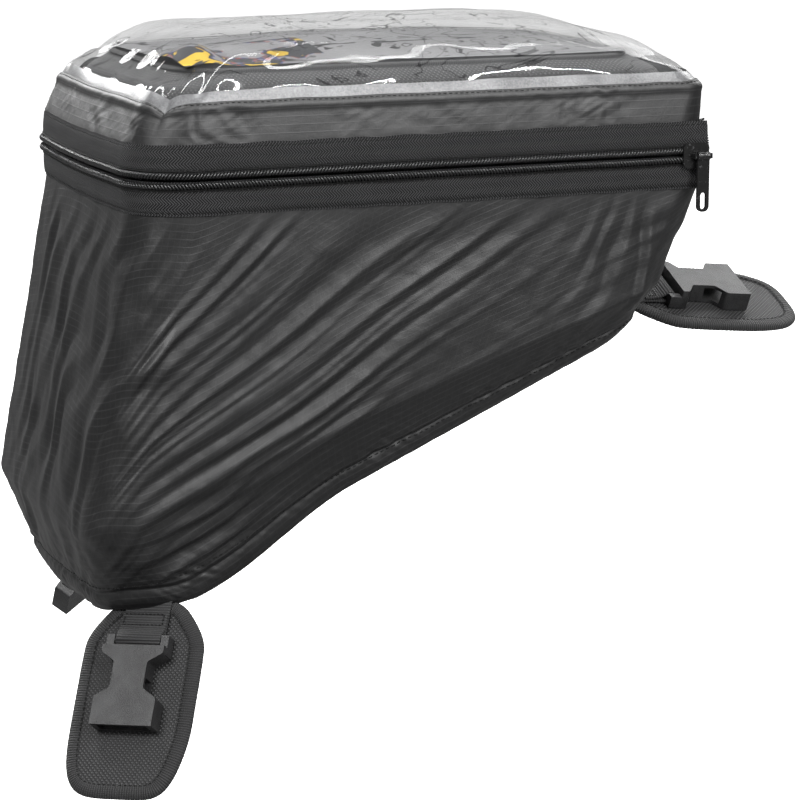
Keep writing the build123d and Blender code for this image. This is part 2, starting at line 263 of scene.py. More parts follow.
def shares_round(count):
    """Even shares of the way round."""
    return (np.arange(count) + 0.5) / count


def blend_rows(low, high, count):
    """Rows of points from one line to another."""
    t = np.linspace(0, 1, count)[:, None, None]
    return low * (1 - t) + high * t


# ---- materials ----
class Shader:
    """A Principled material with a few short ways to add nodes."""

    def __init__(self, name, **sockets):
        self.material = bpy.data.materials.new(name)
        self.material.use_nodes = True
        self.nodes = self.material.node_tree.nodes
        self.links = self.material.node_tree.links
        self.surface = self.nodes["Principled BSDF"]
        for key, value in sockets.items():
            self.surface.inputs[key.replace("_", " ")].default_value = value

    def link(self, a, b):
        self.links.new(a, b)

    def put(self, node, index, value):
        if value is None:
            return
        if isinstance(value, (int, float, tuple)):
            node.inputs[index].default_value = value
        else:
            self.link(value, node.inputs[index])

    def math(self, operation, a, b=None, c=None, clamp=False):
        node = self.nodes.new("ShaderNodeMath")
        node.operation = operation
        node.use_clamp = clamp
        for k, value in enumerate((a, b, c)):
            self.put(node, k, value)
        return node.outputs[0]

    def split(self, vector):
        """A vector's first two coordinates."""
        node = self.nodes.new("ShaderNodeSeparateXYZ")
        self.link(vector, node.inputs[0])
        return node.outputs[0], node.outputs[1]

    def uv(self):
        """The cloth's own two coordinates, in millimetres."""
        return self.split(self.nodes.new("ShaderNodeUVMap").outputs[0])

    def place(self, scale=(1000, 1000, 1000)):
        """Object coordinates in millimetres, times scale."""
        node = self.nodes.new("ShaderNodeTexCoord")
        mapping = self.nodes.new("ShaderNodeMapping")
        mapping.inputs["Scale"].default_value = scale
        self.link(node.outputs["Object"], mapping.inputs[0])
        return mapping.outputs[0]

    def noise(self, vector, scale, detail=3.0, rough=0.55, distortion=0.0):
        node = self.nodes.new("ShaderNodeTexNoise")
        self.put(node, 0, vector)
        node.inputs["Scale"].default_value = scale
        node.inputs["Detail"].default_value = detail
        node.inputs["Roughness"].default_value = rough
        node.inputs["Distortion"].default_value = distortion
        return node.outputs["Fac"]

    def ramp(self, value, *stops):
        """Two colours, each with its place on the ramp."""
        node = self.nodes.new("ShaderNodeValToRGB")
        for element, (place, colour) in zip(node.color_ramp.elements, stops):
            element.position = place
            element.color = (*colour, 1)
        self.link(value, node.inputs[0])
        return node.outputs[0]

    def mix(self, share, a, b):
        node = self.nodes.new("ShaderNodeMix")
        node.data_type = "RGBA"
        self.put(node, 0, share)
        for index, value in ((6, a), (7, b)):
            self.put(node, index, (*value, 1) if isinstance(value, tuple) else value)
        return node.outputs[2]

    def waves(self, value, pitch):
        """A sine between 0 and 1 with the given pitch."""
        turned = self.math("SINE", self.math("MULTIPLY", value, 2 * math.pi / pitch))
        return self.math("MULTIPLY_ADD", turned, 0.5, 0.5)

    def lines(self, value, pitch, width):
        """1 on thin lines that repeat at pitch, 0 between."""
        there = self.math("PINGPONG", value, pitch / 2)
        return self.math("SUBTRACT", 1.0, self.math("DIVIDE", there, width, clamp=True), clamp=True)

    def bump(self, height, distance, strength=1.0, below=None):
        node = self.nodes.new("ShaderNodeBump")
        node.inputs["Strength"].default_value = strength
        node.inputs["Distance"].default_value = distance * MM
        self.link(height, node.inputs["Height"])
        if below is not None:
            self.link(below, node.inputs["Normal"])
        self.link(node.outputs[0], self.surface.inputs["Normal"])
        return node.outputs[0]

    def colour(self, socket):
        self.link(socket, self.surface.inputs["Base Color"])

    def roughness(self, socket):
        self.link(socket, self.surface.inputs["Roughness"])


def ripstop():
    s = Shader("ripstop", Roughness=0.5, Specular_IOR_Level=0.55)
    u, v = s.uv()
    across = s.lines(v, 3.9, 0.4)
    down = s.lines(u, 3.9, 0.3)
    worn = s.noise(s.place(), 0.018, 4)
    patches = s.noise(s.place(), 0.04, 3)
    seen = s.math("MULTIPLY", across, s.math("MULTIPLY_ADD", patches, 1.9, -0.5, clamp=True))
    faint = s.math("MULTIPLY", down, 0.22)
    grid = s.math("MAXIMUM", seen, faint)
    cloth = s.ramp(worn, (0.3, grey(0.0055, 0.0002)), (0.75, grey(0.010, 0.0004)))
    s.colour(s.mix(s.math("MULTIPLY", grid, 0.75), cloth, grey(0.055, 0.002)))
    s.roughness(s.math("MULTIPLY_ADD", patches, 0.2, 0.4))
    creases = s.noise(s.place(), 0.09, 5, 0.62, 0.5)
    first = s.bump(creases, 1.1, 0.3)
    s.bump(grid, 0.1, 0.5, first)
    return s.material


def herringbone():
    s = Shader("zip_tape", Roughness=0.72, Specular_IOR_Level=0.18, Sheen_Weight=0.03)
    u, v = s.uv()
    zigzag = s.math("ADD", u, s.math("PINGPONG", v, 2.9))
    weave = s.waves(zigzag, 1.55)
    tone = s.noise(s.place(), 0.12, 3)
    base = s.ramp(tone, (0.3, grey(0.003, 0.0002)), (0.75, grey(0.008, 0.0003)))
    s.colour(s.mix(s.math("POWER", weave, 1.6), base, grey(0.062, 0.002)))
    s.bump(weave, 0.5, 0.9)
    return s.material


def ballistic():
    s = Shader("ballistic_nylon", Roughness=0.6, Specular_IOR_Level=0.4, Sheen_Weight=0.1)
    u, v = s.uv()
    a = s.waves(s.math("ADD", u, v), 2.5)
    b = s.waves(s.math("SUBTRACT", u, v), 2.5)
    dots = s.math("MULTIPLY", a, b)
    tone = s.noise(s.place(), 0.15, 3)
    base = s.ramp(tone, (0.3, grey(0.006, 0.0005)), (0.7, grey(0.012, 0.0005)))
    s.colour(s.mix(s.math("POWER", dots, 1.6), base, grey(0.08, 0.002)))
    s.bump(dots, 0.5, 0.8)
    return s.material


def ribbed(name, pitch, bright):
    """Grosgrain tape or webbing: close ribs across the cloth's length."""
    s = Shader(name, Roughness=0.66, Specular_IOR_Level=0.35, Sheen_Weight=0.12)
    along, across = s.uv()
    ribs = s.waves(along, pitch)
    threads = s.waves(across, pitch * 0.55)
    tone = s.noise(s.place(), 0.2, 3)
    base = s.ramp(tone, (0.3, grey(0.006)), (0.7, grey(0.012, 0.0005)))
    raised = s.math("MULTIPLY", ribs, s.math("MULTIPLY_ADD", threads, 0.35, 0.65))
    s.colour(s.mix(raised, base, (bright, bright, bright * 1.03)))
    s.bump(raised, 0.45, 0.8)
    return s.material


def moulded():
    s = Shader("buckle_plastic", Roughness=0.36, Specular_IOR_Level=0.5)
    grain = s.noise(s.place(), 1.6, 4, 0.7)
    tone = s.noise(s.place(), 0.09, 2)
    worn = s.math("MULTIPLY_ADD", grain, 0.6, s.math("MULTIPLY", tone, 0.4))
    s.colour(s.ramp(worn, (0.36, grey(0.006, 0.0003)), (0.62, grey(0.042, 0.001))))
    s.roughness(s.math("MULTIPLY_ADD", grain, 0.3, 0.24))
    s.bump(grain, 0.25, 0.7)
    return s.material


def teeth():
    s = Shader("zip_coil", Roughness=0.3, Specular_IOR_Level=0.6)
    tone = s.noise(s.place(), 0.4, 2)
    s.colour(s.ramp(tone, (0.3, grey(0.012)), (0.7, grey(0.024, 0.001))))
    s.roughness(s.math("MULTIPLY_ADD", tone, 0.2, 0.2))
    return s.material


def enamel():
    s = Shader("black_enamel", Roughness=0.22, Specular_IOR_Level=0.6, Metallic=0.2)
    wear = s.noise(s.place(), 0.5, 5, 0.7)
    s.colour(s.ramp(wear, (0.62, grey(0.012)), (0.74, grey(0.25, 0.01))))
    s.roughness(s.math("MULTIPLY_ADD", wear, 0.25, 0.12))
    s.bump(wear, 0.05, 0.4)
    return s.material


def vinyl():
    """Clear film: see-through face on, mirror-like at a glance."""
    s = Shader("clear_vinyl", Specular_IOR_Level=1.0, Coat_Weight=1.0, Coat_Roughness=0.02)
    look = s.nodes.new("ShaderNodeLayerWeight")
    look.inputs[0].default_value = 0.25
    haze = s.noise(s.place(), 0.03, 4, 0.6)
    thick = s.math("MULTIPLY_ADD", look.outputs["Fresnel"], 0.32, 0.03)
    shown = s.math("ADD", thick, s.math("MULTIPLY", haze, 0.05), clamp=True)
    bend = 9.0  # how far in the film turns over; a band there is made more opaque and grey, a painted sheen that also strengthens the lamps' real reflections
    off = s.math("ABSOLUTE", s.math("SUBTRACT", s.uv()[1], bend))
    # painted sheen: the band along the turn is greyer and less clear, so the lamps' reflections also show
    # more strongly there
    painted_bend_sheen = s.math("SUBTRACT", 1.0, s.math("DIVIDE", off, bend), clamp=True)
    # painted shade: thin lines where the film creases are made dark and less clear
    contour = s.noise(s.place((500, 900, 900)), 0.02, 3, 0.55, 1.2)
    painted_crease_shade = s.math("LESS_THAN", s.math("PINGPONG", s.math("MULTIPLY", contour, 9.0), 0.5), 0.035)
    painted_crease_shade = s.math("MULTIPLY", painted_crease_shade, s.math("GREATER_THAN", haze, 0.5))
    shown = s.math("MULTIPLY_ADD", painted_bend_sheen, 0.22, shown)
    s.link(s.math("MULTIPLY_ADD", painted_crease_shade, 0.35, shown, clamp=True), s.surface.inputs["Alpha"])
    s.colour(s.mix(painted_crease_shade, (0.26, 0.263, 0.268), grey(0.02, 0.002)))
    ripples = s.noise(s.place((1000, 1000, 1600)), 0.035, 3, 0.5, 0.8)
    s.bump(ripples, 2.0, 0.25)
    s.roughness(s.math("MULTIPLY_ADD", haze, 0.08, 0.02))
    return s.material


def frosted():
    s = Shader("frosted_border", Roughness=0.28, Specular_IOR_Level=0.6)
    grain = s.noise(s.place(), 0.9, 5, 0.7)
    tone = s.noise(s.place(), 0.05, 3)
    s.colour(s.ramp(s.math("MULTIPLY_ADD", grain, 0.5, s.math("MULTIPLY", tone, 0.5)),
                    (0.35, grey(0.07, 0.004)), (0.68, (0.24, 0.243, 0.248))))
    s.bump(grain, 0.25, 0.6)
    return s.material


def printed_map():
    """A generic relief map: pale paper, broken contours and dark pools, and at its rear right corner a dark
    field with yellow shapes and a dashed fringe."""
    s = Shader("printed_map", Roughness=0.45, Specular_IOR_Level=0.4)
    above = s.place((1000, 1000, 0))
    height = s.noise(above, 0.011, 3, 0.5, 0.9)
    bands = s.math("PINGPONG", s.math("MULTIPLY", height, 12.0), 0.5)
    drawn = s.math("LESS_THAN", bands, 0.08)
    broken = s.math("GREATER_THAN", s.noise(above, 0.045, 2), 0.52)
    pools = s.math("GREATER_THAN", s.noise(s.place((700, 2200, 0)), 0.012, 3, 0.6, 1.4), 0.62)
    paper = s.ramp(s.noise(s.place(), 0.02, 4), (0.3, grey(0.27, 0.005)), (0.75, grey(0.4, 0.005)))
    inked = s.mix(s.math("MULTIPLY", drawn, broken), paper, grey(0.025, 0.003))
    x, y = s.split(above)
    corner = s.math("MULTIPLY", s.math("LESS_THAN", x, -30), s.math("LESS_THAN", y, -10))
    field = s.noise(above, 0.02, 2, 0.5, 1.2)
    dark = s.math("MULTIPLY", corner, s.math("GREATER_THAN", field, 0.47))
    shapes = s.noise(s.place((700, 1100, 0)), 0.035, 2, 0.5, 2.0)
    yellow = s.math("MULTIPLY", s.math("GREATER_THAN", field, 0.5), s.math("GREATER_THAN", shapes, 0.5))
    yellow = s.math("MULTIPLY", corner, yellow)
    fringe = s.math("LESS_THAN", s.math("ABSOLUTE", s.math("SUBTRACT", field, 0.462)), 0.006)
    fringe = s.math("MULTIPLY", corner, fringe)
    dashes = s.math("GREATER_THAN", s.waves(x, 7), 0.5)
    ribbon = s.mix(dashes, (0.03, 0.05, 0.25), (0.35, 0.06, 0.05))
    toned = s.mix(fringe, s.mix(pools, inked, grey(0.03, 0.003)), ribbon)
    toned = s.mix(dark, toned, (0.035, 0.037, 0.042))
    s.colour(s.mix(yellow, toned, (0.78, 0.52, 0.03)))
    return s.material


def grip():
    s = Shader("grip_rubber", Roughness=0.75, Specular_IOR_Level=0.3)
    dots = s.nodes.new("ShaderNodeTexVoronoi")
    dots.inputs["Scale"].default_value = 0.28
    dots.inputs["Randomness"].default_value = 0.0
    s.link(s.place(), dots.inputs[0])
    s.colour(s.ramp(dots.outputs["Distance"], (0.2, grey(0.022, 0.001)), (0.6, grey(0.008))))
    s.bump(s.math("SUBTRACT", 1.0, dots.outputs["Distance"]), 0.8, 0.8)
    return s.material


def foam_grey():
    s = Shader("foam", Roughness=0.85)
    cells = s.noise(s.place(), 0.8, 5, 0.7)
    s.colour(s.ramp(cells, (0.35, grey(0.03, 0.002)), (0.65, grey(0.07, 0.005))))
    s.bump(cells, 0.4, 0.7)
    return s.material


def woven_plain(name, dark=0.008, light=0.03, scale=0.9):
    """A woven look for pieces without cloth coordinates."""
    s = Shader(name, Roughness=0.65, Specular_IOR_Level=0.35)
    wave = s.nodes.new("ShaderNodeTexWave")
    wave.inputs["Scale"].default_value = scale
    wave.inputs["Distortion"].default_value = 0.3
    s.link(s.place(), wave.inputs[0])
    s.colour(s.ramp(wave.outputs["Fac"], (0.2, grey(dark)), (0.8, grey(light))))
    s.bump(wave.outputs["Fac"], 0.35, 0.8)
    return s.material


MATERIAL = {
    "ripstop": ripstop(), "tape": herringbone(), "ballistic": ballistic(), "plastic": moulded(),
    "coil": teeth(), "enamel": enamel(), "vinyl": vinyl(), "border": frosted(),
    "map": printed_map(), "grip": grip(), "foam": foam_grey(), "woven": woven_plain("woven_trim"),
    "binding": ribbed("binding_tape", 1.35, 0.034), "webbing": ribbed("webbing", 1.5, 0.045),
    "thread": woven_plain("thread", 0.004, 0.02, 2.0),
}


def dress(obj, material, body, slot, *replaced):
    """Gives a piece its material and its body, and hides the CAD nodes that it stands in for; slot is not
    used.
    """
    obj.data.materials.append(MATERIAL[material])
    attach(obj, body)
    if replaced:
        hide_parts(*replaced)


# ---- tubes and stitches ----
def tube(path, radius, sides=8, flat=1.0, up=(0, 0, 1)):
    """Rows of points of a tube round a path; flat squeezes it along up."""
    along = np.gradient(path, axis=0)
    along /= np.linalg.norm(along, axis=1)[:, None]
    side = np.cross(along, up)
    side /= np.maximum(np.linalg.norm(side, axis=1), 1e-9)[:, None]
    up = np.cross(side, along)
    a = np.linspace(0, 2 * math.pi, sides, endpoint=False)
    ring = np.cos(a)[None, :, None] * side[:, None] + np.sin(a)[None, :, None] * up[:, None] * flat
    return path[:, None] + ring * radius


def stitches(name, path, outward, pitch, length, radius, body, slot):
    """A row of short threads, bowed outwards, laid along a path of points."""
    steps = np.linalg.norm(np.diff(path, axis=0), axis=1)
    distance = np.concatenate([[0], np.cumsum(steps)])
    shares = np.array([0, 0.12, 0.5, 0.88, 1])
    lift = radius * np.array([-0.8, 0.3, 0.6, 0.3, -0.8])
    sizes = radius * np.array([0.3, 0.9, 1, 0.9, 0.3])
    sides = 6
    turns = np.linspace(0, 2 * math.pi, sides, endpoint=False)
    points, faces = [], []
    for start in np.arange(0, distance[-1] - length, pitch):
        at = start + length * shares
        centre = np.stack([np.interp(at, distance, path[:, k]) for k in range(3)], 1)
        out = np.stack([np.interp(at, distance, outward[:, k]) for k in range(3)], 1)
        along = unit(centre[-1] - centre[0])
        side = np.cross(along, out[2])
        base = len(points)
        for middle, size in zip(centre + out * lift[:, None], sizes):
            for a in turns:
                points.append(middle + size * (math.cos(a) * side + math.sin(a) * out[2]))
        ends = base + (len(shares) - 1) * sides
        for row in range(base, ends, sides):
            for k in range(sides):
                n = (k + 1) % sides
                faces.append([row + k, row + n, row + sides + n, row + sides + k])
        faces.append([base + k for k in reversed(range(sides))])
        faces.append([ends + k for k in range(sides)])
    dress(mesh_object(name, points, faces), "thread", body, slot)


def seam_stitches(name, grid, out, row, *size_and_place):
    """Stitches all along one row of a closed grid."""
    line, facing = (np.vstack([rows[row], rows[row, :1]]) for rows in (grid, out))
    stitches(name, line, facing, *size_and_place)


# ---- rain cover: skirt ----
def facets(phase):
    """A wave of flat slopes, 0 to 1: quickly up and slowly down, with the corners just rounded."""
    crest = 0.36
    total = 0
    for shift in (-0.05, 0.0, 0.05):
        t = (phase + shift) % 1
        total = total + np.where(t < crest, t / crest, (1 - t) / (1 - crest))
    return total / 3


FAN_CENTRE = 125  # how far behind the rear corner, and how low, the folds' common centre is


def folds(distance, z, phase):
    """Outward height of the tension folds that fan out from a lower rear corner."""
    dx = distance + FAN_CENTRE
    dz = z + FAN_CENTRE
    reach = np.hypot(dx, dz)
    angle = np.degrees(np.arctan2(dz, dx)) + 2.2 * perlin(reach / 120, dx / 300, phase)

    def pleats(pitch, run, seed):
        wander = 0.75 * perlin(angle / pitch / 1.7 + seed, reach / run, phase + seed)
        size = smooth(-0.55, 0.45, perlin(angle / pitch / 1.3 + seed, reach / run * 1.3, phase + seed + 3))
        return size * facets(angle / pitch + wander)

    broad = pleats(3.6, 300, 2.1)
    narrow = pleats(1.7, 170, 5.3)
    fine = perlin(angle / 1.1, reach / 90, phase + 1.3)
    held = smooth(-30, 25, distance) * (1 - 0.55 * smooth(120, 270, distance))
    patch = 0.6 + 0.4 * smooth(-0.4, 0.5, perlin(distance / 70, z / 60, phase + 6))
    return held * patch * (3.4 * broad + 1.2 * narrow + 0.12 * fine - 1.4)


def droop(distance):
    """How far the hem hangs lower near a rear corner, where the base flexes down."""
    down = 3.0 * smooth(-60, -10, distance) + 10.0 * smooth(-5, 42, distance)
    return down - 13.0 * smooth(45, 135, distance)


def skirt_grid():
    upper, lower = 130, 70
    u = shares_round(980)
    top = level(u, SKIRT_TOP, TOP, BOW)
    middle = on_plane(u, MIDDLE_REAR, MIDDLE_SLOPE, MIDDLE, 2)
    hem = on_plane(u, (0, 0), SLOPE, HEM, BOW)
    slope = math.radians(SLOPE)
    right, left = from_corner(u)
    rise = 4.2 - droop(right) - 0.6 * droop(left)  # the hem's height over the base's plane
    hem = hem + np.stack([-np.sin(slope) * rise, 0 * rise, np.cos(slope) * rise], -1)
    grid = np.concatenate([blend_rows(hem, middle, lower)[:-1], blend_rows(middle, top, upper)], 0)
    near = slice(lower - 16, lower + 16)
    grid[near] = soften(grid[near], 14)
    return u, grid


CASING = 12.5  # height of the casing's seam over the hem


def make_skirt():
    """The gathered skirt, from the zip down to its elastic hem."""
    u, grid = skirt_grid()
    out = normals(grid)
    steps = np.linalg.norm(np.diff(grid, axis=0), axis=-1)
    up = np.concatenate([np.zeros((1, len(u))), np.cumsum(steps, 0)], 0)
    below_top = up[-1] - up
    right, left = from_corner(u)
    x, y, z = grid[..., 0], grid[..., 1], grid[..., 2]
    around = u[None] * ROUND
    left_share = smooth(-25, 25, y)
    fan = folds(right[None], z, 2.0) * (1 - left_share) + folds(left[None], z, 9.0) * left_share
    fan *= 1 - 0.6 * smooth(140, 168, x)
    rear = smooth(-120, -150, x)
    sway = 0.9 * perlin(y / 45, z / 60, 3.0)
    size = 0.35 + 0.65 * smooth(-0.4, 0.4, perlin(y / 34, z / 70, 8.0))
    drape = size * (2 * facets((y + 0.42 * z) / 27 + sway) - 1)
    drape += 0.35 * perlin(y / 13 - z / 40 + sway, z / 60, 9.0)
    front = smooth(60, 150, x)
    steep = (2 * facets((x - 0.45 * z) / 17 + 0.8 * perlin(x / 30, z / 50, 12.0)) - 1) * front
    rise = fan + 1.6 * drape * rear * (1 - 0.9 * smooth(25, 75, y)) + 1.1 * steep
    rise += 0.25 * perlin(x / 10, y / 10, z / 10)
    rise *= 0.06 + 0.94 * smooth(1, 26, below_top)
    # the hem gathers on its elastic, with a casing seam above the edge
    pucker = perlin((around + 0.9 * up) / 9.5, up / 15, 1.0) + 0.5 * perlin((around - up) / 4.4, up / 9, 5.0)
    gathered = 1 - smooth(10, 40, up)
    crumple = 0.5 + 0.9 * smooth(-0.3, 0.5, perlin(around / 38, up / 60, 7.0))
    rise = rise * smooth(4, 34, up) + 1.2 * crumple * pucker * gathered * (0.3 + 0.5 * smooth(1, 9, up))
    rise += 0.9 * smooth(0, 5, up) * (1 - smooth(6.5, 12, up)) - 1.1 * np.exp(-((up - CASING) / 1.3) ** 2)
    corner = np.exp(-(right / 95) ** 2) + 0.4 * np.exp(-(left / 95) ** 2)
    swags = 2 * facets(up / 12.5 + 0.7 * perlin(around / 42, up / 60, 2.0) + around / 200) - 1
    rise += corner * 1.7 * swags * smooth(12, 24, up) * (1 - smooth(42, 78, up)) * (1 - 0.85 * rear)
    grid = grid + out * rise[..., None]
    skirt = grid_object("rain_cover_skirt", grid, closed_uv(around, up), loop=True)
    dress(skirt, "ripstop", "root", "black_ripstop", "cover_skirt", "cover_hem_elastic")
    seam = int(np.argmin(np.abs(up.mean(1) - CASING)))
    seam_stitches("hem_stitches", grid, out, seam, 3.4, 2.4, 0.3, "root", "elastic")


# ---- rain cover: zip ----
ZIP_Z = 161.0
ZIP_END = 170.0
GAP = 0.6  # from the zip's middle line to a tape's edge or a coil
TAPE_EDGE = 18.0
ZIP_HALVES = {"lower": (-1, "root"), "upper": (1, "cover_lid")}  # which way each half lies, and its body


def zip_path(offset, count=900):
    """The zip's line round the rear, from its left front end to the right one, and its outward directions."""
    rear, _, side, turn, _ = TOP
    radius = turn + offset
    bend = rear + turn
    flat = side - turn
    straight, arc = ZIP_END - bend, math.pi / 2 * radius
    cuts = np.cumsum([straight, arc, 2 * flat, arc, straight])
    s = np.linspace(0, cuts[-1], count)
    turned = sum(np.clip((s - cut) / radius, 0, math.pi / 2) for cut in (cuts[0], cuts[2]))
    out = np.column_stack([-np.sin(turned), np.cos(turned)])
    back = np.clip((s - cuts[1]) / (2 * flat), 0, 1)
    x = bend + np.clip(cuts[0] - s, 0, None) + np.clip(s - cuts[3], 0, None) - BOW * np.sin(math.pi * back)
    return s, np.column_stack([x, flat * (1 - 2 * back)]) + radius * out, out


def make_tape(side):
    """Half of the zip's tape, with its two rows of stitches."""
    sign, body = ZIP_HALVES[side]
    s, line, out = zip_path(0.4)
    across = np.array([GAP, 2.5, 5.5, 8, 10.5, 13, 15.2, 16.2, 16.9, 17.4, TAPE_EDGE])
    seed = 4.0 if sign > 0 else 8.0
    rows = []
    for d in across:
        wave = 0.7 * perlin(s / 26, d / 14, seed) * smooth(3, 15, d)
        step = 0.5 * (1 - smooth(15.4, 16.6, d)) + 0.15
        bulge = 0.5 * np.sin(math.pi * d / TAPE_EDGE)
        edge = 0.5 * perlin(s / 15, 3.0, 2.0) * smooth(14, 18, d)
        push = step + wave + bulge
        rows.append(np.column_stack([line + out * push[:, None], ZIP_Z + sign * (d + edge)]))
    grid = np.array(rows)
    tape = grid_object(f"zip_tape_{side}", grid[::sign, ::-1], pair(s, across[:, None])[::sign, ::-1])
    dress(tape, "tape", body, "zip_tape", f"cover_zip_tape_{side}")
    facing = np.column_stack([out, np.zeros(len(out))])
    for row, name in ((7, "outer"), (2, "inner")):
        line = grid[row] + facing * 0.1
        stitches(f"tape_stitches_{side}_{name}", line, facing, 3.0, 2.1, 0.22, body, "zip_tape")


def make_coil(side):
    """One row of the nylon coil: a flattened helix along the zip, with the cords that hold it."""
    sign, body = ZIP_HALVES[side]
    s, line, out = zip_path(2.0, 3000)
    pitch, per_turn = 1.75, 9
    t = np.linspace(0, s[-1], int(s[-1] / pitch * per_turn))
    x, y = np.interp(t, s, line[:, 0]), np.interp(t, s, line[:, 1])
    ox, oy = np.interp(t, s, out[:, 0]), np.interp(t, s, out[:, 1])
    a = t / pitch * 2 * math.pi
    depth = 1.15 * np.cos(a)
    height = 1.95 + 1.3 * np.sin(a)
    sway = 0.35 * perlin(t / 60, 1.0, 2.0)
    lean = 0.35 * pitch * np.sin(a)
    along_x, along_y = np.gradient(x), np.gradient(y)
    norm = np.hypot(along_x, along_y)
    path = np.column_stack([
        x + ox * depth + along_x / norm * lean,
        y + oy * depth + along_y / norm * lean,
        ZIP_Z + sign * (GAP + height) + sway,
    ])
    coil = grid_object(f"zip_coil_{side}", tube(path, 0.52, 6), loop=True)
    dress(coil, "coil", body, "zip_teeth", f"cover_zip_coil_{side}")
    cords = (("core", -0.2, 1.95, 0.8), ("ridge", -0.7, 4.2, 0.55), ("welt", -0.9, 5.6, 0.4))
    for name, away, lift, radius in cords:
        centre = np.column_stack([line + out * away, np.full(len(line), ZIP_Z + sign * (GAP + lift))])
        cord = grid_object(f"zip_{name}_{side}", tube(centre[::4], radius), loop=True)
        dress(cord, "thread", body, "zip_tape")


def make_coil_end(side, hand, mirror):
    """The end of a row of teeth, turned away from the slider and in over the cover's front corner."""
    sign, body = ZIP_HALVES[side]
    f = np.linspace(0, 1, 150)
    turn = f * math.pi / 2
    x = 169.0 + 3.2 * np.sin(turn) - 2.0 * f
    y = -(104.2 - 8.5 * f)
    z = ZIP_Z + sign * (3 + 15 * f ** 1.2)
    a = f * 12 * 2 * math.pi
    path = np.column_stack([x + 1.4 * np.cos(a), mirror * (y - 0.8 * np.sin(a)), z])
    end = grid_object(f"zip_coil_end_{side}_{hand}", tube(path, 0.6, 6, up=(1, 0.2, 0)), loop=True)
    dress(end, "coil", body, "zip_teeth")


# ---- rain cover: lid ----
BAND_INSET = 2.2  # how far in over the dome's foot the band's top edge reaches
BAND_TALL = 22.0
BAND_SEAM = 20.2  # height of its stitches over its foot


def inset_seam(inset):
    """The window's seam, pulled in."""
    rear, front, half, rear_radius, front_radius = SEAM
    limit = max(half - inset, 3) * 0.98
    return (rear + inset * 1.12, front - inset * 1.12, half - inset,
            min(rear_radius + inset * 0.25, limit), min(front_radius + inset * 0.5, limit))


def window_height(inset):
    """The dome's profile: height over the seam for a distance in from it."""
    return 35.5 * (1 - np.exp(-inset / 15.0)) + 0.8 * smooth(30, 90, inset)


def make_band():
    """The strip over the zip, sewn up over the dome's foot."""
    u = shares_round(980)
    foot = level(u, BAND_FOOT, TOP, BOW)
    turn = level(u, SEAM_Z + 0.5, SEAM, BOW)
    head = level(u, SEAM_Z + window_height(BAND_INSET), inset_seam(BAND_INSET), BOW)
    grid = soften(np.concatenate([blend_rows(foot, turn, 18)[:-1], blend_rows(turn, head, 7)], 0), 2)
    out = normals(grid)
    up = np.linspace(0, BAND_TALL, len(grid))[:, None]
    around = u[None] * ROUND
    slanted = around - up * 0.9
    patch = smooth(-0.3, 0.45, perlin(around / 48, 1.0, 3.0))
    tucks = perlin(slanted / 9 + 0.5 * perlin(around / 14, up / 10, 4.0), up / 15, 2.2)
    small = perlin((around + up * 1.6) / 4.6, up / 6, 6.6)
    middle = np.sin(math.pi * np.clip(up / BAND_TALL, 0, 1)) ** 0.6
    rise = (0.95 * tucks * patch + 0.3 * small * patch + 0.3) * middle + 1.2 * smooth(14, 18, up)
    rise -= 0.5 * np.exp(-((up - BAND_SEAM) / 0.6) ** 2) + 1.1 * smooth(BAND_TALL - 0.8, BAND_TALL, up)
    grid = grid + out * rise[..., None]
    grid[..., 2] += (0.7 * perlin(around / 22, 3.0, 1.0) - corner_dip(u)) * (up / BAND_TALL) ** 2
    band = grid_object("rain_cover_band", grid, closed_uv(around, up), loop=True)
    dress(band, "ripstop", "cover_lid", "black_ripstop", "cover_band")
    seam = int(np.argmin(np.abs(up - BAND_SEAM)))
    seam_stitches("band_stitches", grid, out, seam, 3.1, 2.2, 0.27, "cover_lid", "black_ripstop")


def make_front_wall():
    """The plain fabric across the front between the zip's ends, where the cover's lid hinges."""
    y = np.linspace(-96, 96, 130)
    z = np.linspace(143, 179, 46)
    yy, zz = np.meshgrid(y, z)
    bend = TOP[4]
    over = np.clip(np.abs(yy) - (TOP[2] - bend), 0, None)
    x = TOP[1] - bend + np.sqrt(np.clip(bend ** 2 - over ** 2, 0, None))
    x = x + 0.8 * perlin(yy / 12, zz / 16, 3.0)
    wall = grid_object("front_wall", np.stack([x, yy, zz], -1), pair(yy, zz))
    wall.data.materials.append(MATERIAL["ripstop"])
    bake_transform(wall)


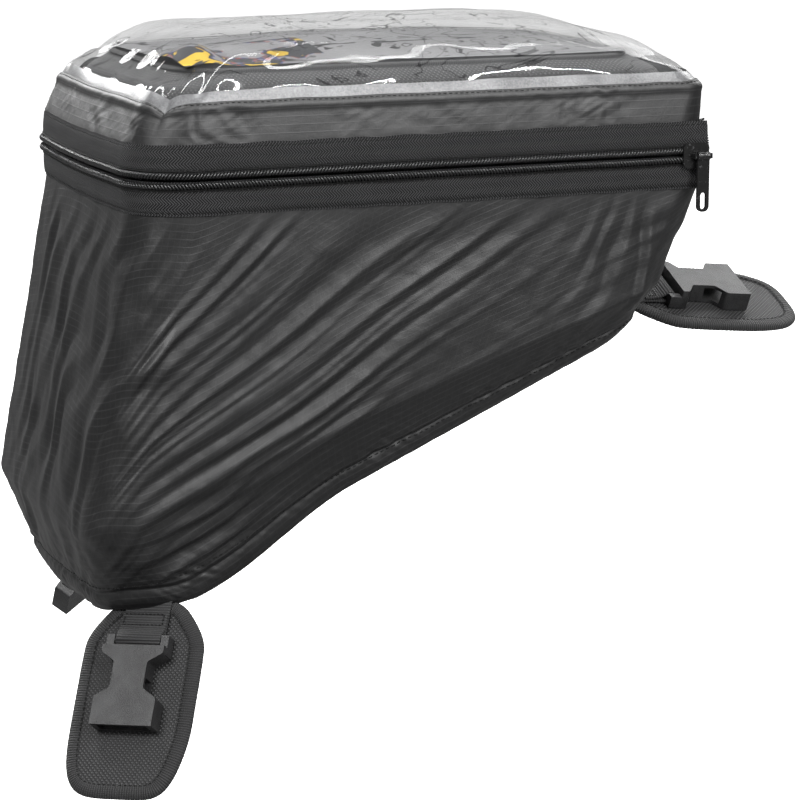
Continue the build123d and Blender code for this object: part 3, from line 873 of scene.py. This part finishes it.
def make_window():
    """The clear dome, and the frosted strip where it is welded on."""
    u = shares_round(820)
    insets = np.concatenate([np.linspace(0, 12, 16), np.linspace(13.5, 60, 32), np.linspace(63, 96, 14)])
    grid = np.array([level(u, SEAM_Z + window_height(i), inset_seam(i), BOW) for i in insets])
    out = normals(grid)
    x, y = grid[..., 0], grid[..., 1]
    inset = insets[:, None]
    around = u[None] * ROUND
    free = smooth(3, 16, inset)
    sag = 2.0 * perlin(x / 85, y / 48, 3.0) + 0.9 * perlin(x / 40, y / 20, 6.0)
    wall = smooth(0, 7, inset) * (1 - smooth(18, 44, inset))
    flutes = 1.9 * perlin(around / 30 + 0.4 * perlin(around / 50, inset / 20, 4.0), inset / 30, 1.5) * wall
    corners = sum(np.exp(-(((x + 124) / 26) ** 2 + ((y + side) / 26) ** 2)) for side in (86, -86))
    tuck = 4.0 * perlin((x - y) / 12, (x + y) / 40, 2.0) * corners * smooth(1, 8, inset)
    drop = -5.0 * smooth(70, 165, x) - 8.0 * smooth(-85, -135, x)
    grid = grid + out * ((sag * free) + flutes + tuck)[..., None]
    grid[..., 2] += drop * free - corner_dip(u) * (1 - smooth(0, 12, inset))
    uv = closed_uv(around, inset)
    strip = 5  # rows of the welded border
    window = grid_object("clear_window", grid[strip:], uv[strip:, :-1], loop=True, cap=True)
    dress(window, "vinyl", "cover_lid", "clear_vinyl", "cover_window")
    low = slice(0, strip + 2)
    border = grid_object("window_weld", grid[low] + out[low] * 0.35, uv[low], loop=True)
    dress(border, "border", "cover_lid", "vinyl_border", "window_border")


# ---- bag lid and map pocket ----
# the bag lid's sections, written as the cover's are
LID_RIM = (-129, 162, 90, 34, 20)
LID_SHOULDER = (-126, 157, 87, 33, 22)
LID_TOP = (-116, 144, 77, 30, 26)
LID_MIDDLE = (LID_TOP[0] + LID_TOP[1]) / 2
POCKET_Z = 212.6


def make_bag_lid():
    """The bag's own lid, with the piping of its map pocket."""
    u = shares_round(420)
    rim, shoulder, top = level(u, 181, LID_RIM), level(u, 204, LID_SHOULDER), level(u, 211, LID_TOP)
    grid = np.concatenate([blend_rows(rim, shoulder, 14)[:-1], blend_rows(shoulder, top, 12)], 0)
    grid = soften(grid, 6)
    for k in (0.96, 0.85, 0.65, 0.4, 0.15):
        ring = top.copy()
        ring[:, 0] = LID_MIDDLE + (ring[:, 0] - LID_MIDDLE) * k
        ring[:, 1] *= k
        ring[:, 2] = 211.6 + 0.9 * (1 - k)
        grid = np.concatenate([grid, ring[None]], 0)
    out = normals(grid)
    grid = grid + out * (0.8 * perlin(grid[..., 0] / 26, grid[..., 1] / 26, grid[..., 2] / 26))[..., None]
    side = grid[..., 2:] < 205  # where cloth coordinates run round the lid, not across it
    uv = np.where(side, pair(u * ROUND * 0.88, grid[..., 2]), grid[..., :2])
    lid = grid_object("bag_lid", grid, uv, loop=True, cap=True)
    dress(lid, "ballistic", "bag_lid", "ballistic_fabric", "bag_lid_panel")
    # piping round the pocket
    path = level(u, POCKET_Z - 0.2, (LID_TOP[0] + 3, LID_TOP[1] - 3, LID_TOP[2] - 3, 28, 24))
    rings = tube(np.vstack([path, path[:2]]), 2.6, 12, flat=0.45)
    uv = pair(np.linspace(0, 840, len(rings))[:, None], np.linspace(0, 16, 12))
    binding = grid_object("map_pocket_edge", rings, uv, loop=True)
    dress(binding, "binding", "bag_lid", "binding", "map_pocket_binding")


def map_grid(rise, margin):
    """A crowned, slightly bunched sheet that lies on the bag's lid."""
    rear, front, half = LID_TOP[0] + margin, LID_TOP[1] - margin, LID_TOP[2] - margin
    x, y = np.meshgrid(np.linspace(rear, front, 200), np.linspace(-half, half, 120))
    wave = 0.9 * perlin(x / 55, y / 40, 1.0) + 0.9
    crown = 9.0 * (1 - ((x - LID_MIDDLE) / 135) ** 2) * (1 - (y / 78) ** 2)
    bunch = 8.0 * np.exp(-(((x + 98) / 12) ** 2 + ((y + 46) / 24) ** 2))
    z = POCKET_Z + rise + wave + crown + bunch
    return np.stack([x, y, z], -1)


def make_map():
    """The map and the clear film over it."""
    grid = map_grid(0.0, 6)
    sheet = grid_object("road_map", grid, grid[..., :2])
    dress(sheet, "map", "bag_lid", "paper", "map_sheet")
    grid = map_grid(1.0, 4.5)
    film = grid_object("map_pocket_cover", grid, grid[..., :2] + 300)
    dress(film, "vinyl", "bag_lid", "map_film", "map_pocket_film")


# ---- harness ----
def strap_frame(root, along, across):
    """A strap's place: its root, and its directions along, across and out of its face."""
    along = unit(along)
    out = unit(np.cross(along, across))
    return root, along, np.cross(out, along), out


HARNESS = {
    "front": strap_frame((171, 0, 69.5), (0.995, 0, -0.1), (0, 0.93, 0.36)),
    "rear_right": strap_frame((-135.3, -78, -60.5), (-0.331, -0.477, -0.814), (0.761, -0.645, 0.068)),
    "rear_left": strap_frame((-118, 72, -52), (0, 0.55, -0.83), (-0.8, -0.5, -0.33)),
}


def local(side, points):
    """From a strap's own coordinates (along, across, out of its face) to the object's."""
    origin, *directions = HARNESS[side]
    return np.array(origin) + points @ np.array(directions)


def face_stitches(name, side, line, *size_and_place):
    """Stitches along a line in a strap's own coordinates."""
    path = local(side, line)
    stitches(name, path, np.broadcast_to(HARNESS[side][3], path.shape), *size_and_place)


WING_START, WING_END = 1.0, 106.0
WING_HALF = 32.5
WING_THICK = 5.0


def wing_outline(side, count=280):
    """The wing's outline: shoulders that slope at the root end, and a round tip."""
    x0, x1 = WING_START, WING_END
    a = np.linspace(0, 2 * math.pi, count, endpoint=False)
    c, s = np.cos(a), np.sin(a)
    power = 4.6 if side == "rear_right" else 3.3
    r = (np.abs(c) ** power + np.abs(s) ** power) ** (-1 / power)
    x = (x0 + x1) / 2 + (x1 - x0) / 2 * r * c
    y = WING_HALF * r * s
    shoulder = 1 - 0.24 * smooth(x0 + 25, x0, x)
    tip = 1 - 0.12 * smooth(x1 - 40, x1, x) * (s > 0)
    return np.column_stack([x, y * shoulder * tip])


def make_wing(side):
    body = f"wing_{side}"
    edge = wing_outline(side)
    centre = np.array([(WING_START + WING_END) / 2, 0])
    half_thick = WING_THICK / 2
    faces = []
    for up in (-1, 1):
        rings = []
        for k in (1.0, 0.985, 0.95, 0.9, 0.8, 0.65, 0.45, 0.22):
            p = centre + (edge - centre) * k
            swell = half_thick * (0.62 + 0.38 * (1 - k ** 5))
            sag = 0.35 * perlin(p[:, 0] / 18, p[:, 1] / 14, 3.0 + up) * (1 - k)
            rings.append(np.column_stack([p, np.full(len(p), up * swell - half_thick) + sag]))
        faces.append(np.array(rings))
    # rows run from the middle of the back, over the edge, to the middle of the face
    rings = np.concatenate([faces[0][::-1], faces[1]], 0)
    pad = grid_object(f"wing_{side}_pad", local(side, rings), rings[..., :2], loop=True, cap=True)
    dress(pad, "ballistic", body, "ballistic_fabric", f"wing_pad_{side}")
    # the binding folds over the edge, about 6 mm wide on each face
    length = np.concatenate([[0], np.cumsum(np.linalg.norm(np.diff(edge, axis=0), axis=1))])
    ripple = 0.12 * np.sin(length / 1.35 * math.pi)
    tangent = np.roll(edge, -1, 0) - np.roll(edge, 1, 0)
    inside = np.column_stack([-tangent[:, 1], tangent[:, 0]])
    inside = inside / np.linalg.norm(inside, axis=1)[:, None]
    wrap = 6.2
    half_profile = ((wrap, 2.35), (wrap - 0.6, 2.75), (3, 2.8), (0.6, 2.3), (-0.9, 1.2))
    profile = half_profile + ((-1.3, 0),) + tuple((inward, -lift) for inward, lift in reversed(half_profile))
    rings = np.array([
        np.column_stack([edge + inside * inward, lift - half_thick + np.sign(lift) * ripple])
        for inward, lift in profile
    ])
    uv = pair(length, np.linspace(0, 17, len(profile))[:, None])
    binding = grid_object(f"wing_{side}_binding", local(side, rings), uv, loop=True)
    dress(binding, "binding", body, "binding", f"wing_binding_{side}")
    line = np.vstack([rings[1], rings[1, :1]])
    face_stitches(f"wing_{side}_stitches", side, line, 2.8, 2.0, 0.25, body, "binding")


BAR = (24.0, 4.6)  # the buckle's bar: how far along the strap, and how far out
BAR_BEND = 3.0  # radius of the webbing's middle round the bar
WEBBING_WIDE = 25
WEBBING_THICK = 1.5


def make_strap(side):
    """Webbing from its root, round the buckle's bar and back, with a box of stitches that holds its end."""
    body = f"strap_{side}"
    turns = np.radians(np.linspace(-95, 120, 14))
    loop = [(BAR[0] + BAR_BEND * math.cos(a), BAR[1] + BAR_BEND * math.sin(a)) for a in turns]
    lead = [(-2, 0.2), (4, 1.2), (12, 1.5)]
    back = [(18, 4.2), (12, 3.3), (9, 3.0)]
    profile = np.array(lead + loop + back)
    steps = np.concatenate([[0], np.cumsum(np.linalg.norm(np.diff(profile, axis=0), axis=1))])
    fine = np.linspace(0, steps[-1], max(12, int(steps[-1] / 0.7)))
    path = soften(np.column_stack([np.interp(fine, steps, profile[:, k]) for k in (0, 1)]), 3)
    tangent = np.gradient(path, axis=0)
    tangent /= np.linalg.norm(tangent, axis=1)[:, None]
    out = np.column_stack([-tangent[:, 1], tangent[:, 0]])
    half, t = WEBBING_WIDE / 2, WEBBING_THICK / 2
    left = [(-half + 0.5, -t), (-half, -t * 0.4), (-half, t * 0.4), (-half + 0.5, t), (-half * 0.5, t * 1.05)]
    section = left + [(0, t * 1.1)] + [(-across, lift) for across, lift in reversed(left)]
    rows = []
    for across, lift in section:
        x, z = (path + out * lift).T
        rows.append(np.column_stack([x, np.full(len(x), across), z]))
    rings = np.array(rows).transpose(1, 0, 2)
    uv = pair(fine[:, None], [across for across, _ in section])
    webbing = grid_object(f"webbing_loop_{side}", local(side, rings)[:, ::-1], uv[:, ::-1], loop=True)
    dress(webbing, "webbing", body, "webbing", f"webbing_{side}")
    box = np.array([(9.5, -11, 4.1), (9.5, 11, 4.1), (15.5, 11, 4.6), (15.5, -11, 4.6), (9.5, -11, 4.1)])
    face_stitches(f"box_stitch_{side}", side, box, 2.2, 1.7, 0.3, body, "webbing")


# ---- carried-over CAD nodes ----
def bevelled(name, width, segments=3):
    obj = NODES[name]
    modifier = obj.modifiers.new("rounded", "BEVEL")
    modifier.width = width * MM
    modifier.segments = segments
    modifier.limit_method = "ANGLE"
    modifier.angle_limit = math.radians(35)
    modifier.harden_normals = True
    for polygon in obj.data.polygons:
        polygon.use_smooth = True


def paint(name, material):
    obj = NODES[name]
    obj.data.materials.clear()
    obj.data.materials.append(MATERIAL[material])


def dress_cad():
    for side in HARNESS:
        paint(f"buckle_{side}", "plastic")
        bevelled(f"buckle_{side}", 0.8)
        paint(f"strap_tab_{side}", "woven")
    for name in ("cover_zip_slider", "cover_zip_pull", "bag_zip_slider"):
        paint(name, "enamel")
        bevelled(name, 0.3, 2)
    for name in ("foam_floor", "foam_rear", "foam_front", "foam_side_right", "foam_side_left"):
        paint(name, "foam")
    for name in ("bag_shell", "base_panel", "base_binding", "bag_zip_chain_lower", "bag_zip_chain_upper"):
        paint(name, "woven")
    paint("grip_pad", "grip")


# ---- studio ----
def area_light(name, place, size, power, target=(0.02, 0, 0.05), gloss_only=False):
    data = bpy.data.lights.new(name, "AREA")
    data.energy = power
    data.shape = "RECTANGLE"
    data.size, data.size_y = size
    light = bpy.data.objects.new(name, data)
    light.location = place
    light.rotation_euler = (Vector(target) - Vector(place)).to_track_quat("-Z", "Y").to_euler()
    light.visible_diffuse = not gloss_only
    bpy.context.scene.collection.objects.link(light)


def make_studio():
    lowest = CAD_BOX[0].z - 0.03
    half = 12.0
    mesh = bpy.data.meshes.new("floor")
    corners = [(x, y, lowest) for x, y in ((-half, -half), (half, -half), (half, half), (-half, half))]
    mesh.from_pydata(corners, [], [(0, 1, 2, 3)])
    floor = bpy.data.objects.new("floor", mesh)
    bpy.context.scene.collection.objects.link(floor)
    shader = Shader("floor_white", Roughness=0.9, Specular_IOR_Level=0.0)
    direct = shader.nodes.new("ShaderNodeLightPath").outputs["Is Camera Ray"]
    soft = shader.noise(shader.place((1, 1, 1)), 0.6, 2)
    pale = shader.ramp(soft, (0.2, grey(0.93)), (0.8, grey(0.96)))
    shader.colour(shader.mix(direct, grey(0.2), pale))
    shader.surface.inputs["Emission Color"].default_value = (1, 1, 1, 1)
    shader.link(shader.math("MULTIPLY", direct, 0.9), shader.surface.inputs["Emission Strength"])
    mesh.materials.append(shader.material)
    world = bpy.data.worlds.new("studio")
    bpy.context.scene.world = world
    world.use_nodes = True
    tree = world.node_tree
    back = tree.nodes["Background"]
    back.inputs[0].default_value = (1, 1, 1, 1)
    path = tree.nodes.new("ShaderNodeLightPath")
    strength = tree.nodes.new("ShaderNodeMath")  # dimmer as a light than as a backdrop
    strength.operation = "MULTIPLY_ADD"
    strength.inputs[1].default_value = 0.84
    strength.inputs[2].default_value = 0.2
    tree.links.new(path.outputs["Is Camera Ray"], strength.inputs[0])
    tree.links.new(strength.outputs[0], back.inputs[1])
    area_light("key", (-1.6, -1.15, 1.55), (0.8, 0.5), 44)
    area_light("fill", (0.6, -1.9, 1.05), (0.7, 0.8), 34)
    area_light("rim", (1.6, 0.9, 1.3), (0.9, 1.2), 20)
    area_light("back", (-0.7, 1.7, 1.0), (0.6, 0.6), 24)
    area_light("strip", (0.35, -1.1, 1.5), (1.4, 0.05), 26, target=(0.02, -0.05, 0.2), gloss_only=True)
    area_light("above", (0.0, 0.5, 1.9), (1.8, 0.24), 31)
    bpy.context.scene.view_settings.view_transform = "Standard"
    bpy.context.scene.view_settings.look = "None"


make_camera()
make_skirt()
for zip_half in ZIP_HALVES:
    make_tape(zip_half)
    make_coil(zip_half)
    make_coil_end(zip_half, "right", 1)
    make_coil_end(zip_half, "left", -1)
make_band()
make_front_wall()
make_window()
make_bag_lid()
make_map()
for wing in ("front", "rear_right"):
    make_wing(wing)
for strap in HARNESS:
    make_strap(strap)
dress_cad()
make_studio()
